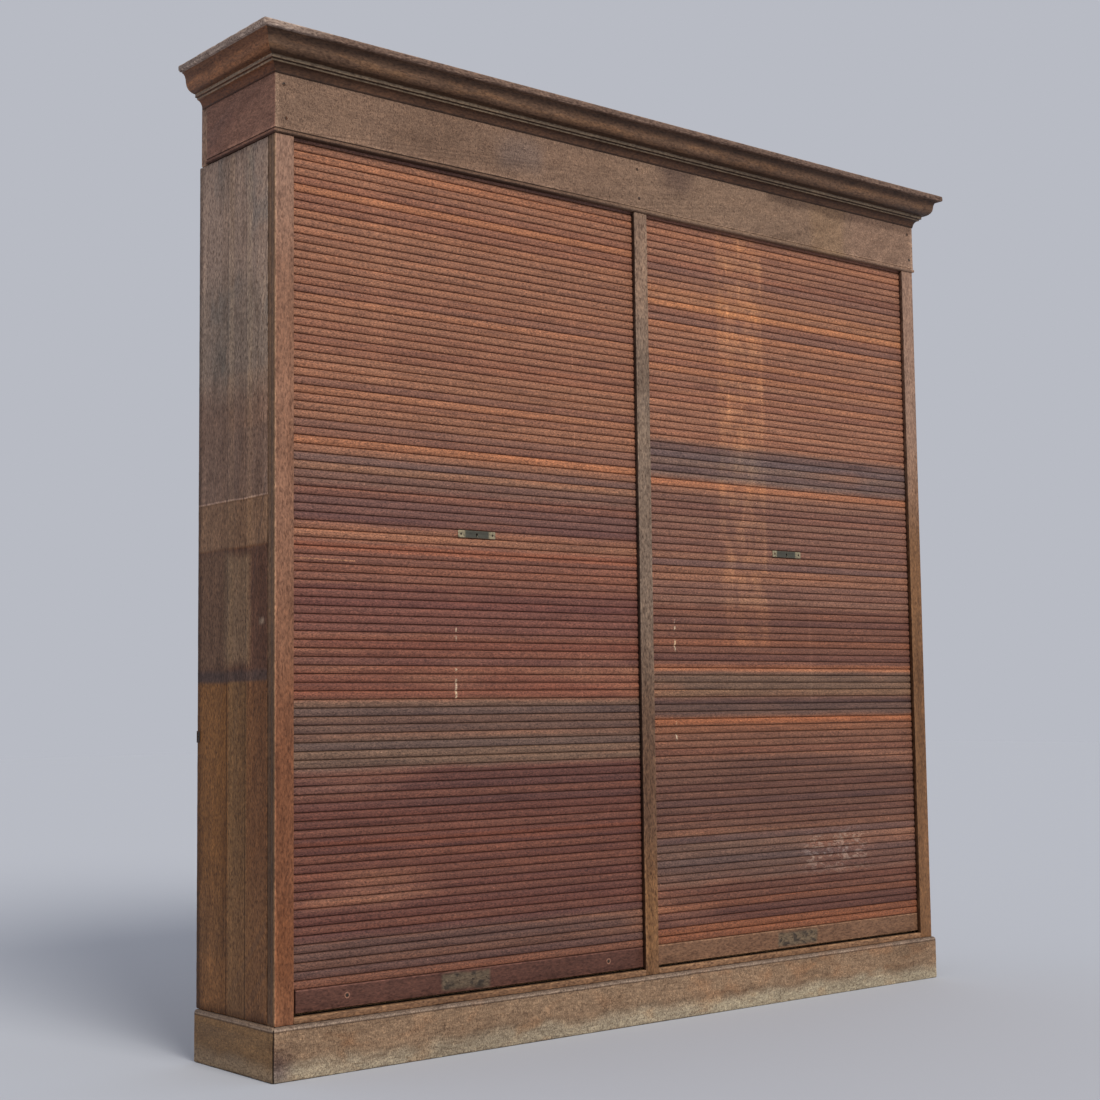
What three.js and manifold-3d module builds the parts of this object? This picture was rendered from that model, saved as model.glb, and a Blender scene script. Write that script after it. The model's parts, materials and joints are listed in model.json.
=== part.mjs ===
// A tall double cabinet closed by two tambour shutters, with a plinth and a cornice.
// Millimetres, Z up, the front faces -Y. The pieces are laid out in the case's own frame, whose
// corner is the case's front left edge on the floor: X runs right, Y runs back, Z runs up.
// The whole group is then moved so that the middle of the bottom of its box is the origin.
import * as THREE from 'three';
import { mergeVertices } from 'three/addons/utils/BufferGeometryUtils.js';
import Module from 'manifold-3d';

const wasm = await Module();
wasm.setup();

// ---- Driving dimensions ----
const caseWidth = 2314;
const caseDepth = 362;
const plinthHeight = 123;
const caseHeight = 2059; // from the top of the plinth to the underside of the head box
const boardThickness = 22;
const touch = 0.3; // left between two pieces that meet
const mitreTouch = touch * Math.SQRT1_2;

// Plinth frame
const plinthProjection = 9;
const plinthBoard = 22;
const plinthRearInset = 7; // the case reaches this much further back
const plinthNose = 8; // height of the rounded top edge

// Shutters
const slatPitch = 20;
const slatThickness = 9.5;
const slatCrown = 2.5;
const slatGroove = 6; // depth of the groove between two slats, from the crown
const slatLead = 1; // from a groove to the edge of the slat's face
const slatCrest = 11; // height of the crown above the groove under it
const slatOverrun = 40; // the least that the slats reach above the case
const canvasThickness = 1.4;
const liftRailHeight = 52;
const sillGap = 6; // under the closed shutter
const railChamfer = 2;

// Face frame of the case, grooved for the shutters
const stileWidth = 51;
const muntinWidth = 47;
const sillHeight = 15;
const grooveLip = 12; // wood left in front of the groove
const grooveDepth = 12;
const grooveClearance = 1; // in front of a shutter and at its two edges
const grooveRearClearance = 0.8; // behind its canvas
const grooveRearLip = 8; // wood left behind the groove
const arris = 1.5;
const cornerBead = { width: 14, rearInset: 2, sink: 1.8 };

// Back, bottom and shelves
const backThickness = 12;
const backInset = 6;
const bottomThickness = 22;
const shelfThickness = 20;
const shelfSetback = 15; // from the back of the face frame to the front edge of a shelf
const dadoDepth = 6;
const dustBoardThickness = 14;
const shelvesBelowLock = 2;
const shelvesAboveLock = 2;

// Head box behind the frieze
const friezeProjection = 2;
const friezeHeight = 144; // with its bead, up to the cornice
const friezeBead = { reach: 5, height: 15 };
const headRearInset = 11; // the case reaches this much further back
const postWidth = 27;
const postDepth = 28;
const postRecess = 1;
const headPartitionThickness = 10;
const headPartitionLap = 3; // how far it stands over the muntin

// Cornice and cap board
const corniceHeight = 82;
const corniceReach = 60; // from the frieze to the front of the cyma
const capThickness = 16;
const capOverhang = 10.3; // beyond the cyma
const capRearInset = 8; // the head box reaches this much further back

// Roller on stub pins in the head box
const rollerSetback = 140;
const rollerRise = 113; // its axis above the case
const rollerRadius = 27;
const rollerEndGap = 2.2;
const pinRadius = 6.5;
const pinLength = 22;
const boreClearance = 0.5;
const boreDepth = 30;
const bracketThickness = 3;
const bracketSize = 64;
const bracketHoleRadius = 2.5;
const roundSides = 24;

// Locks, one in the middle of each shutter
const lockSlat = 53; // whole slats under the one that carries the lock
const plateLength = 117;
const plateHeight = 18;
const plateThickness = 1.3;
const plateCorner = 1.5;
const plateScrewInset = 9;
const plateScrewRadius = 2;
const platePassage = 0.9; // left between a lifted plate and the frieze
const keyholeRadius = 3.4;
const keyholeSlot = { width: 3, drop: 6.5 };
const lockCaseSize = { length: 70, depth: 14, height: 40 };
const boltSize = { length: 66, depth: 5, height: 14 };
const boltClearance = 0.4;
const boltTravel = 10;
const keeperThickness = 4;
const keeperStandOff = 2.5;
const keeperFoot = 22;
const keeperClearance = 2.8; // behind the canvas
const keeperLength = 57;

// Iron eye plate on the left side
const eyePlate = { height: 28, width: 12, thickness: 2.5, holeRadius: 3, rise: 757, rearInset: 3 };

// ---- Places worked out from the dimensions ----
const caseTop = plinthHeight + caseHeight;
const caseBase = plinthHeight + touch;
const corniceBase = caseTop + friezeHeight;
const headTop = corniceBase + corniceHeight;
const capProjection = friezeProjection + touch + corniceReach + capOverhang;
const plinthRear = caseDepth - plinthRearInset;
const headRear = caseDepth - headRearInset;
const capRear = headRear - capRearInset;
const middle = caseWidth / 2;
const interiorFloor = plinthHeight + bottomThickness;
const backFront = caseDepth - backInset - backThickness;
const shelfRear = backFront - touch;
const bayLeft = boardThickness;
const bayRight = middle - boardThickness / 2;
const openingLeft = stileWidth;
const openingRight = middle - muntinWidth / 2;
const shutterLeft = openingLeft - grooveDepth + grooveClearance;
const shutterRight = openingRight + grooveDepth - grooveClearance;
const shutterFront = grooveLip + grooveClearance;
const slatBack = shutterFront + slatThickness;
const canvasFront = slatBack + touch;
const canvasBack = canvasFront + canvasThickness;
const grooveRear = canvasBack + grooveRearClearance;
const frameDepth = grooveRear + grooveRearLip;
const shelfFront = frameDepth + shelfSetback;
const railBottom = plinthHeight + sillHeight + sillGap;
const railTop = railBottom + liftRailHeight;
const slatStart = railTop + touch;
const slatCount = Math.ceil((caseTop + slatOverrun - slatStart) / slatPitch);
const slatEnd = slatStart + slatCount * slatPitch;
const lockX = (openingLeft + openingRight) / 2;
const lockZ = slatStart + (lockSlat + 0.5) * slatPitch;
const lockCaseFront = canvasBack + touch;
const boltY = lockCaseFront + lockCaseSize.depth / 2;
const lockCaseEnd = lockX + lockCaseSize.length / 2;
const lockShelfTop = lockZ - lockCaseSize.height / 2 - keeperThickness - 2 * touch;
const plateBack = shutterFront - touch;
const headBoard = plateBack - plateThickness - platePassage + friezeProjection;
const rollerY = rollerSetback;
const rollerZ = caseTop + rollerRise;
const rollerBracketLeft = headBoard - friezeProjection + touch;
const rollerBracketRight = middle - headPartitionThickness / 2 - touch;

// ---- Materials ----
const wood = (color) => new THREE.MeshStandardMaterial({ color, roughness: 0.62, metalness: 0 });
const paleOak = wood(0x7d6243);
const greyOak = wood(0x6b5a4b);
const redOak = wood(0x7a4a30);
const darkOak = wood(0x4f3a2a);
const innerWood = wood(0x8f6f4a);
const slatWood = wood(0x6e3d2a);
const canvasCloth = new THREE.MeshStandardMaterial({ color: 0xa39678, roughness: 0.95, metalness: 0 });
const brass = new THREE.MeshStandardMaterial({ color: 0x7d6a3e, roughness: 0.45, metalness: 0.85 });
const iron = new THREE.MeshStandardMaterial({ color: 0x35302c, roughness: 0.6, metalness: 0.8 });

// ---- Ways of making a piece ----
function block(x0, x1, y0, y1, z0, z1) {
  const shape = new THREE.BoxGeometry(x1 - x0, y1 - y0, z1 - z0);
  return shape.translate((x0 + x1) / 2, (y0 + y1) / 2, (z0 + z1) / 2);
}

function outline(points) {
  return new THREE.Shape(points.map(([u, v]) => new THREE.Vector2(u, v)));
}

function extrude(shape, depth) {
  return new THREE.ExtrudeGeometry(shape, { depth, bevelEnabled: false, curveSegments: 6 });
}

// A section drawn in (y, z), run along X.
function alongX(shape, x0, x1) {
  const turn = new THREE.Matrix4().makeBasis(
    new THREE.Vector3(0, 1, 0),
    new THREE.Vector3(0, 0, 1),
    new THREE.Vector3(1, 0, 0),
  );
  return extrude(shape, x1 - x0).applyMatrix4(turn).translate(x0, 0, 0);
}

// A face drawn in (x, z), run along Y.
function alongY(shape, y0, y1) {
  return extrude(shape, y1 - y0).rotateX(Math.PI / 2).translate(0, y1, 0);
}

// A plan drawn in (x, y), run along Z.
function alongZ(shape, z0, z1) {
  return extrude(shape, z1 - z0).translate(0, 0, z0);
}

// A section drawn in (outward, z), run between two ends. Each end is a function that gives the plan
// position [x, y] of a point from how far outward it stands, so an end can be square or mitred.
function moulding(points, from, to) {
  const made = extrude(outline(points), 1);
  const place = made.getAttribute('position');
  for (let i = 0; i < place.count; i += 1) {
    const [x, y] = (place.getZ(i) > 0.5 ? to : from)(place.getX(i));
    place.setXYZ(i, x, y, place.getY(i));
  }
  return made;
}

// The three runs of a moulding that goes round the front and both sides.
function frontRun(points) {
  const right = (out) => [caseWidth + out - mitreTouch, -out];
  const left = (out) => [mitreTouch - out, -out];
  return moulding(points, right, left);
}

function leftRun(points, rear) {
  const front = (out) => [-out, mitreTouch - out];
  const back = (out) => [-out, rear];
  return moulding(points, front, back);
}

// The other hand of a piece, across the middle of the case.
function otherHand(made) {
  const flat = made.index ? made.toNonIndexed() : made.clone();
  flat.scale(-1, 1, 1).translate(caseWidth, 0, 0);
  const place = flat.getAttribute('position');
  const a = new THREE.Vector3();
  const b = new THREE.Vector3();
  for (let i = 0; i < place.count; i += 3) {
    a.fromBufferAttribute(place, i + 1);
    b.fromBufferAttribute(place, i + 2);
    place.setXYZ(i + 1, b.x, b.y, b.z);
    place.setXYZ(i + 2, a.x, a.y, a.z);
  }
  return flat;
}

function toSolid(made) {
  const bare = made.clone();
  bare.deleteAttribute('normal');
  bare.deleteAttribute('uv');
  const merged = mergeVertices(bare, 1e-4);
  const mesh = new wasm.Mesh({
    numProp: 3,
    vertProperties: new Float32Array(merged.getAttribute('position').array),
    triVerts: new Uint32Array(merged.index.array),
  });
  return new wasm.Manifold(mesh);
}

function fromSolid(solid) {
  const mesh = solid.getMesh();
  const made = new THREE.BufferGeometry();
  made.setAttribute('position', new THREE.BufferAttribute(new Float32Array(mesh.vertProperties), 3));
  made.setIndex(new THREE.BufferAttribute(new Uint32Array(mesh.triVerts), 1));
  return made;
}

function cut(body, ...tools) {
  return fromSolid(tools.reduce((left, tool) => left.subtract(toSolid(tool)), toSolid(body)));
}

function join(body, other) {
  return fromSolid(toSolid(body).add(toSolid(other)));
}

function roundHole(x, y, radius) {
  const hole = new THREE.Path();
  hole.absarc(x, y, radius, 0, Math.PI * 2, true);
  return hole;
}

// ---- Plinth: a frame of boards with a rounded top edge, mitred at the front ----
function plinthSection() {
  const out = plinthProjection;
  const points = [[out - plinthBoard, 0], [out, 0]];
  for (let step = 0; step <= 4; step += 1) {
    const turn = (step / 4) * (Math.PI / 2);
    const inward = plinthNose * (1 - Math.cos(turn));
    const rise = plinthNose * Math.sin(turn);
    points.push([out - inward, plinthHeight - plinthNose + rise]);
  }
  points.push([out - plinthBoard, plinthHeight]);
  return points;
}

function plinthRearBoard() {
  const inner = plinthBoard - plinthProjection + touch;
  return block(inner, caseWidth - inner, plinthRear - plinthBoard, plinthRear, 0, plinthHeight);
}

// ---- Case: sides, partition, bottom and back ----
// The heights of the tops of the shelves in one bay. One stands under the lock and holds its keeper.
function shelfTops() {
  const tops = [lockShelfTop];
  const lower = (lockShelfTop - interiorFloor) / (shelvesBelowLock + 1);
  for (let i = 1; i <= shelvesBelowLock; i += 1) tops.push(interiorFloor + i * lower);
  const ceiling = caseTop - dustBoardThickness;
  const upper = (ceiling - lockShelfTop) / (shelvesAboveLock + 1);
  for (let i = 1; i <= shelvesAboveLock; i += 1) tops.push(lockShelfTop + i * upper);
  return tops.sort((a, b) => a - b);
}

// An upright board's edge in (x, z), with a housing for each shelf. face is the face's x, and inward
// is +1 where the wood lies on the +X side of it.
function housedEdge(face, inward) {
  const points = [];
  for (const top of shelfTops()) {
    const low = top - shelfThickness - touch;
    const deep = face + inward * dadoDepth;
    points.push([face, low], [deep, low], [deep, top + touch], [face, top + touch]);
  }
  return points;
}

function caseSide() {
  const edge = housedEdge(boardThickness, -1);
  const thick = boardThickness;
  const points = [[0, caseBase], [thick, caseBase], ...edge, [thick, caseTop], [0, caseTop]];
  return alongY(outline(points), frameDepth + touch, caseDepth);
}

function partition() {
  const left = middle - boardThickness / 2;
  const right = middle + boardThickness / 2;
  const base = interiorFloor + touch;
  const up = housedEdge(right, -1);
  const down = housedEdge(left, 1).reverse();
  const points = [[left, base], [right, base], ...up, [right, caseTop], [left, caseTop], ...down];
  return alongY(outline(points), frameDepth + touch, shelfRear);
}

function bottomBoard() {
  const inner = boardThickness + touch;
  const front = frameDepth + touch;
  return block(inner, caseWidth - inner, front, shelfRear, caseBase, interiorFloor);
}

function backPanel() {
  const inner = boardThickness + touch;
  const rear = backFront + backThickness;
  return block(inner, caseWidth - inner, backFront, rear, caseBase, caseTop);
}

// ---- Shelves, let into the housings, and the board that closes each bay under the head box ----
function shelf(top) {
  const left = bayLeft - dadoDepth + touch;
  const right = bayRight + dadoDepth - touch;
  return block(left, right, shelfFront, shelfRear, top - shelfThickness, top);
}

function dustBoard() {
  const low = caseTop - dustBoardThickness;
  return block(bayLeft + touch, bayRight - touch, shelfFront, shelfRear, low, caseTop);
}

// ---- Face frame ----
// A plan of the left stile: a bead on the outer side and the shutter's groove in the inner edge.
function stile() {
  const { width, rearInset, sink } = cornerBead;
  const end = frameDepth - rearInset;
  const start = end - width;
  const half = width / 2;
  const centre = end - half;
  const bead = [1, 0.7, 0, -0.7, -1].map((t) => [sink * t * t, centre + t * half]);
  const points = [
    [arris, 0],
    [stileWidth, 0],
    [stileWidth, grooveLip],
    [stileWidth - grooveDepth, grooveLip],
    [stileWidth - grooveDepth, grooveRear],
    [stileWidth, grooveRear],
    [stileWidth, frameDepth],
    [0, frameDepth],
    [0, end + touch],
    ...bead,
    [0, start - touch],
    [0, arris],
  ];
  return alongZ(outline(points), caseBase, caseTop);
}

function muntin() {
  const left = middle - muntinWidth / 2;
  const right = middle + muntinWidth / 2;
  const points = [
    [left, 0],
    [right, 0],
    [right, grooveLip],
    [right - grooveDepth, grooveLip],
    [right - grooveDepth, grooveRear],
    [right, grooveRear],
    [right, frameDepth],
    [left, frameDepth],
    [left, grooveRear],
    [left + grooveDepth, grooveRear],
    [left + grooveDepth, grooveLip],
    [left, grooveLip],
  ];
  return alongZ(outline(points), caseBase, caseTop);
}

function sill() {
  const top = plinthHeight + sillHeight;
  return block(openingLeft + touch, openingRight - touch, 0, frameDepth, caseBase, top);
}

// ---- Head box: frieze boards with a bead on the lower edge, posts, back, partition ----
// The bead is a half round, a quirk and a small fillet, in shares of its reach and height.
function friezeSection() {
  const base = caseTop + touch;
  const { reach, height } = friezeBead;
  const nose = [
    [0.2, 0],
    [0.76, 0.07],
    [1, 0.24],
    [1, 0.46],
    [0.76, 0.63],
    [0.24, 0.7],
    [0.24, 0.77],
    [0.6, 0.83],
    [0.6, 0.93],
  ].map(([out, rise]) => [out * reach, base + rise * height]);
  const face = friezeProjection;
  const inner = face - headBoard;
  const top = headTop - touch;
  return [[inner, base], ...nose, [face, base + height], [face, top], [inner, top]];
}

function headPost() {
  const x0 = postRecess - friezeProjection;
  const base = caseTop + touch;
  return block(x0, x0 + postWidth, headRear - postDepth, headRear, base, headTop - touch);
}

function headBack() {
  const inner = postRecess - friezeProjection + postWidth + touch;
  const base = caseTop + touch;
  return block(inner, caseWidth - inner, headRear - backThickness, headRear, base, headTop - touch);
}

function headPartition() {
  const half = headPartitionThickness / 2;
  const rear = headRear - backThickness - touch;
  const front = frameDepth - headPartitionLap;
  return block(middle - half, middle + half, front, rear, caseTop + touch, headTop - touch);
}

// ---- Cornice: a cove, two fillets and a large cyma under a square-edged cap board ----
// Every point is given in shares of the cornice's reach and height.
function cornice() {
  const back = friezeProjection + touch;
  const height = corniceHeight - touch;
  const at = (out, rise) => new THREE.Vector2(back + out * corniceReach, corniceBase + rise * height);
  const cove = new THREE.QuadraticBezierCurve(at(0.03, 0.02), at(0.07, 0.24), at(0.25, 0.27));
  const lowFillet = [at(0.28, 0.27), at(0.28, 0.32)];
  const highFillet = [at(0.37, 0.33), at(0.37, 0.43)];
  const lowSweep = new THREE.CubicBezierCurve(at(0.4, 0.43), at(0.63, 0.45), at(0.78, 0.56), at(0.8, 0.72));
  const highSweep = new THREE.QuadraticBezierCurve(at(0.8, 0.72), at(0.82, 0.99), at(1, 1));
  return [
    at(0, 0),
    at(0.03, 0),
    ...cove.getPoints(4),
    ...lowFillet,
    ...highFillet,
    ...lowSweep.getPoints(5),
    ...highSweep.getPoints(4).slice(1),
    at(0, 1),
  ].map((point) => [point.x, point.y]);
}

function capBoard() {
  const out = capProjection;
  return block(-out, caseWidth + out, -out, capRear, headTop, headTop + capThickness);
}

// ---- Shutter: slats side by side, the canvas behind them and the rail at the foot ----
function slats() {
  const points = [[slatBack, slatStart]];
  for (let i = 0; i < slatCount; i += 1) {
    const z = slatStart + i * slatPitch;
    points.push([shutterFront + slatGroove, z]);
    points.push([shutterFront + slatCrown, z + slatLead]);
    points.push([shutterFront, z + slatCrest]);
    points.push([shutterFront + slatCrown, z + slatPitch - slatLead]);
  }
  points.push([shutterFront + slatGroove, slatEnd], [slatBack, slatEnd]);
  return alongX(outline(points), shutterLeft, shutterRight);
}

// The canvas leaves the top slat and runs on in a straight line to the roller, whose side it touches.
function canvas() {
  const wrap = rollerRadius + touch + canvasThickness / 2;
  const turnZ = slatEnd + slatPitch / 2;
  const y = (canvasFront + canvasBack) / 2;
  const away = Math.hypot(rollerY - y, rollerZ - turnZ);
  const climb = Math.atan2(rollerZ - turnZ, rollerY - y) + Math.asin(wrap / away);
  const run = Math.sqrt(away * away - wrap * wrap);
  const half = canvasThickness / 2;
  const lift = half * Math.tan((Math.PI / 2 - climb) / 2);
  const end = [y + run * Math.cos(climb), turnZ + run * Math.sin(climb)];
  const across = [Math.sin(climb) * half, Math.cos(climb) * half];
  const points = [
    [canvasFront, slatStart],
    [canvasBack, slatStart],
    [canvasBack, turnZ - lift],
    [end[0] + across[0], end[1] - across[1]],
    [end[0] - across[0], end[1] + across[1]],
    [canvasFront, turnZ + lift],
  ];
  return alongX(outline(points), shutterLeft, shutterRight);
}

function liftRail() {
  const points = [
    [canvasBack, railBottom],
    [canvasBack, railTop],
    [shutterFront + railChamfer, railTop],
    [shutterFront, railTop - railChamfer],
    [shutterFront, railBottom + railChamfer],
    [shutterFront + railChamfer, railBottom],
  ];
  return alongX(outline(points), shutterLeft, shutterRight);
}

// ---- Roller that winds the shutter up, bored at its ends for the brackets' stub pins ----
function roller() {
  const start = rollerBracketLeft + bracketThickness + rollerEndGap;
  const end = rollerBracketRight - bracketThickness - rollerEndGap;
  const length = end - start;
  const bore = pinRadius + boreClearance;
  const profile = [
    [0, boreDepth],
    [bore, boreDepth],
    [bore, 0],
    [rollerRadius, 0],
    [rollerRadius, length],
    [bore, length],
    [bore, length - boreDepth],
    [0, length - boreDepth],
  ].map(([radius, along]) => new THREE.Vector2(radius, along));
  const made = new THREE.LatheGeometry(profile, roundSides);
  return made.rotateZ(-Math.PI / 2).translate(start, rollerY, rollerZ);
}

function bracket(inner, inward) {
  const half = bracketSize / 2;
  const face = inner + inward * bracketThickness;
  const plate = outline([
    [rollerY - half, rollerZ - half],
    [rollerY + half, rollerZ - half],
    [rollerY + half, rollerZ + half],
    [rollerY - half, rollerZ + half],
  ]);
  const screw = half - 3 * bracketHoleRadius;
  plate.holes.push(roundHole(rollerY - screw, rollerZ - screw, bracketHoleRadius));
  plate.holes.push(roundHole(rollerY + screw, rollerZ + screw, bracketHoleRadius));
  const plateBody = alongX(plate, Math.min(inner, face), Math.max(inner, face));
  const pinStart = (inner + face) / 2;
  const pinEnd = face + inward * pinLength;
  const pin = new THREE.CylinderGeometry(pinRadius, pinRadius, Math.abs(pinEnd - pinStart), roundSides);
  pin.rotateZ(Math.PI / 2).translate((pinStart + pinEnd) / 2, rollerY, rollerZ);
  return join(plateBody, pin);
}

// ---- Lock: a keyhole plate in front, a case behind, its bolt, and the keeper on the shelf ----
function keyhole() {
  const { width, drop } = keyholeSlot;
  const dip = Math.asin(width / 2 / keyholeRadius);
  const hole = new THREE.Path();
  hole.absarc(lockX, lockZ, keyholeRadius, -Math.PI / 2 + dip, (Math.PI * 3) / 2 - dip, false);
  hole.lineTo(lockX - width / 2, lockZ - drop);
  hole.lineTo(lockX + width / 2, lockZ - drop);
  hole.closePath();
  return hole;
}

function lockPlate() {
  const halfX = plateLength / 2;
  const halfZ = plateHeight / 2;
  const corner = plateCorner;
  const plate = outline([
    [lockX - halfX + corner, lockZ - halfZ],
    [lockX + halfX - corner, lockZ - halfZ],
    [lockX + halfX, lockZ - halfZ + corner],
    [lockX + halfX, lockZ + halfZ - corner],
    [lockX + halfX - corner, lockZ + halfZ],
    [lockX - halfX + corner, lockZ + halfZ],
    [lockX - halfX, lockZ + halfZ - corner],
    [lockX - halfX, lockZ - halfZ + corner],
  ]);
  plate.holes.push(keyhole());
  for (const side of [-1, 1]) {
    plate.holes.push(roundHole(lockX + side * (halfX - plateScrewInset), lockZ, plateScrewRadius));
  }
  return alongY(plate, plateBack - plateThickness, plateBack);
}

function lockCase() {
  const { length, depth, height } = lockCaseSize;
  const tunnelY = boltSize.depth / 2 + boltClearance;
  const tunnelZ = boltSize.height / 2 + boltClearance;
  const body = block(
    lockX - length / 2,
    lockX + length / 2,
    lockCaseFront,
    lockCaseFront + depth,
    lockZ - height / 2,
    lockZ + height / 2,
  );
  const tunnel = block(
    lockX - length,
    lockX + length,
    boltY - tunnelY,
    boltY + tunnelY,
    lockZ - tunnelZ,
    lockZ + tunnelZ,
  );
  return cut(body, tunnel);
}

function lockBolt() {
  const { length, depth, height } = boltSize;
  return block(
    lockCaseEnd - length,
    lockCaseEnd,
    boltY - depth / 2,
    boltY + depth / 2,
    lockZ - height / 2,
    lockZ + height / 2,
  );
}

function keeper() {
  const face = lockCaseEnd + keeperStandOff;
  const foot = lockShelfTop + touch;
  const profile = outline([
    [face, foot],
    [face + keeperFoot, foot],
    [face + keeperFoot, foot + keeperThickness],
    [face + keeperThickness, foot + keeperThickness],
    [face + keeperThickness, lockZ + boltSize.height],
    [face, lockZ + boltSize.height],
  ]);
  const mouthY = boltSize.depth / 2 + 2 * boltClearance;
  const mouthZ = boltSize.height / 2 + 2 * boltClearance;
  const mouth = block(
    face - keeperThickness,
    face + 2 * keeperThickness,
    boltY - mouthY,
    boltY + mouthY,
    lockZ - mouthZ,
    lockZ + mouthZ,
  );
  const front = canvasBack + keeperClearance;
  return cut(alongY(profile, front, front + keeperLength), mouth);
}

// ---- Eye plate near the rear of the left side ----
function sideEyePlate() {
  const { height, width, thickness, holeRadius, rise, rearInset } = eyePlate;
  const rear = caseDepth - rearInset;
  const plate = outline([
    [rear - width, rise],
    [rear, rise],
    [rear, rise + height],
    [rear - width, rise + height],
  ]);
  plate.holes.push(roundHole(rear - width / 2, rise + height / 2, holeRadius));
  return alongX(plate, -touch - thickness, -touch);
}

// ---- Assembly ----
const cabinet = new THREE.Group();

function add(name, geometry, material) {
  const mesh = new THREE.Mesh(geometry, material);
  mesh.name = name;
  cabinet.add(mesh);
}

function addPair(name, geometry, material) {
  add(`${name}_left`, geometry, material);
  add(`${name}_right`, otherHand(geometry), material);
}

add('plinth_front', frontRun(plinthSection()), paleOak);
addPair('plinth_side', leftRun(plinthSection(), plinthRear), paleOak);
add('plinth_rear', plinthRearBoard(), innerWood);

addPair('case_side', caseSide(), redOak);
add('partition', partition(), innerWood);
add('bottom_board', bottomBoard(), innerWood);
add('back_panel', backPanel(), innerWood);
shelfTops().forEach((top, i) => addPair(`shelf_${i + 1}`, shelf(top), innerWood));
addPair('dust_board', dustBoard(), innerWood);

addPair('stile', stile(), redOak);
add('muntin', muntin(), greyOak);
addPair('sill', sill(), greyOak);

add('frieze_front', frontRun(friezeSection()), greyOak);
addPair('frieze_side', leftRun(friezeSection(), headRear - postDepth - touch), greyOak);
addPair('head_post', headPost(), innerWood);
add('head_back', headBack(), innerWood);
add('head_partition', headPartition(), innerWood);
add('cornice_front', frontRun(cornice()), darkOak);
addPair('cornice_side', leftRun(cornice(), capRear), darkOak);
add('cap_board', capBoard(), greyOak);

addPair('slats', slats(), slatWood);
addPair('canvas', canvas(), canvasCloth);
addPair('lift_rail', liftRail(), slatWood);

addPair('roller', roller(), innerWood);
addPair('roller_bracket_outer', bracket(rollerBracketLeft, 1), iron);
addPair('roller_bracket_inner', bracket(rollerBracketRight, -1), iron);

addPair('lock_plate', lockPlate(), brass);
addPair('lock_case', lockCase(), iron);
addPair('lock_bolt', lockBolt(), brass);
addPair('lock_keeper', keeper(), iron);

add('side_eye_plate', sideEyePlate(), iron);

cabinet.position.set(-middle, (capProjection - caseDepth) / 2, 0);

export default cabinet;
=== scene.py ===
"""The looks of a tall double cabinet closed by two tambour shutters: a plinth, a case, a head box and a
cornice of old oak, a hundred narrow slats to a shutter, and the works behind them. Metres, Z up, and
the front faces -Y."""

import json
import math

import bmesh
import bpy
from mathutils import Matrix, Vector, noise

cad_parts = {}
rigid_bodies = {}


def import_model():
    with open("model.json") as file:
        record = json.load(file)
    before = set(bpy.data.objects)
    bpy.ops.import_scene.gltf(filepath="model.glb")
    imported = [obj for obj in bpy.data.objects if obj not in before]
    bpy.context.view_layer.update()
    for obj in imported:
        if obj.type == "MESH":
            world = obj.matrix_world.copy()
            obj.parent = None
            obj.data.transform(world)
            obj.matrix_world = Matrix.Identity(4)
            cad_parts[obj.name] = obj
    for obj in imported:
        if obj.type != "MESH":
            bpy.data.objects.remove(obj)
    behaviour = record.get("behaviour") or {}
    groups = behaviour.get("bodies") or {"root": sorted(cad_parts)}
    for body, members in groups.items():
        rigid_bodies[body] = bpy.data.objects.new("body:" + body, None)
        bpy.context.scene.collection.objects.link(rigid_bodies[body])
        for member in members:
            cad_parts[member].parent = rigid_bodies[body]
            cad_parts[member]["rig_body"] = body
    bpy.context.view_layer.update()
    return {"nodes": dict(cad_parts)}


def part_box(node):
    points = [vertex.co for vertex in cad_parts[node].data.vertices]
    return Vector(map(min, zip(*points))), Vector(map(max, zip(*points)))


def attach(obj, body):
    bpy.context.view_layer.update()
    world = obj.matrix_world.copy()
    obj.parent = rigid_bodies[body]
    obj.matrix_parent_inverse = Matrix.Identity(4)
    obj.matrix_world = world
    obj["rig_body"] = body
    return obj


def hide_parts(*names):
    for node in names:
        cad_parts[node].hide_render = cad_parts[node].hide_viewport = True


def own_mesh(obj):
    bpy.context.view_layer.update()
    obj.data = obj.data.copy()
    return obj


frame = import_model()

# ---- Camera ----
# It stands in front of the left corner at about waist height and looks slightly up, so that the left
# side, the whole front and the underside of the cornice show.
azimuth, pitch, roll = (math.radians(angle) for angle in (-39.597, 4.977, -0.688))
ahead = math.cos(pitch)
forward = Vector((-math.sin(azimuth) * ahead, math.cos(azimuth) * ahead, math.sin(pitch)))
level = forward.cross(Vector((0, 0, 1))).normalized()
upright = level.cross(forward)
rolled_level = level * math.cos(roll) + upright * math.sin(roll)
rolled_upright = upright * math.cos(roll) - level * math.sin(roll)


def placed(name, data):
    """A new object in the scene, with this data."""
    made = bpy.data.objects.new(name, data)
    bpy.context.scene.collection.objects.link(made)
    return made


camera = placed("Camera", bpy.data.cameras.new("Camera"))
camera.data.sensor_width = 36.0
camera.data.lens = 59.6
camera.matrix_world = Matrix((rolled_level, rolled_upright, -forward)).transposed().to_4x4()
camera.matrix_world.translation = Vector((-3.3254, -3.7576, 0.8289))
bpy.context.scene.camera = camera

# ---- Studio ----
# A pale matt floor under an even pale sky, with one large soft lamp high in front. The floor lies just
# under the plinth's foot, so that the two don't share a face.
bpy.context.scene.view_settings.view_transform = "Standard"


def tone(red, green, blue):
    """A colour given in the usual 0 to 255 steps, as the shader wants it."""
    steps = (red / 255, green / 255, blue / 255)
    light = [s / 12.92 if s <= 0.04045 else ((s + 0.055) / 1.055) ** 2.4 for s in steps]
    return (*light, 1.0)


sky = bpy.data.worlds.new("Sky")
sky.use_nodes = True
sky.node_tree.nodes["Background"].inputs["Color"].default_value = tone(184, 187, 196)
bpy.context.scene.world = sky

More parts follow.
